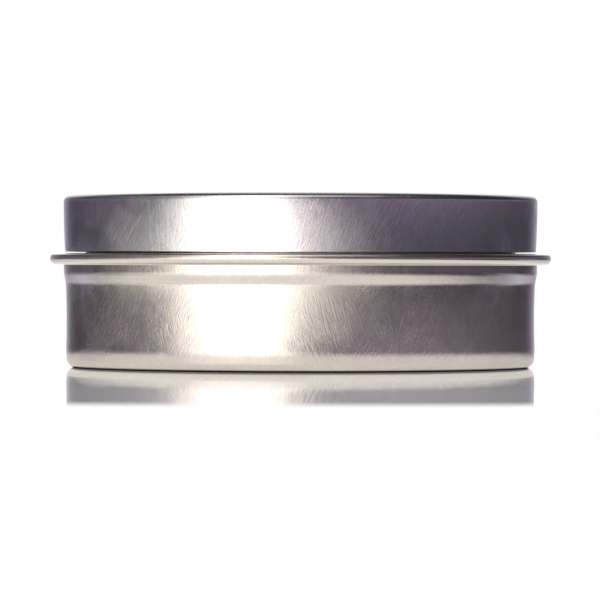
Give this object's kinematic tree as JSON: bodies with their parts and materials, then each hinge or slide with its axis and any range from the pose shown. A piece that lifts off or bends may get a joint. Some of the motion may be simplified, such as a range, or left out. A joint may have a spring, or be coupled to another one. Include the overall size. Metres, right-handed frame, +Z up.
{
  "type": "round tin",
  "caption": "Flat round drawn metal tin with a slip lid, a rolled bead under the lid, a rounded base corner and plain bare walls.",
  "frame": {"origin": "on the tin's axis, in the plane of the ring that it stands on", "axes": "+Z up along the tin's axis, towards the lid; the tin is round, so X and Y are alike"},
  "size_m": [0.065, 0.065, 0.0222],
  "materials": {
    "body_tinplate": "bright tinplate with fine scratches",
    "lid_tinplate": "bright tinplate with fine scratches"
  },
  "bodies": {
    "body": {"tin_body": "body_tinplate"},
    "lid": {"lid": "lid_tinplate"}
  },
  "joints": [
    {"name": "lid_lift", "type": "slide", "parent": "body", "child": "lid", "axis": [0, 0, 1], "range_m": [0, 0.04]}
  ]
}
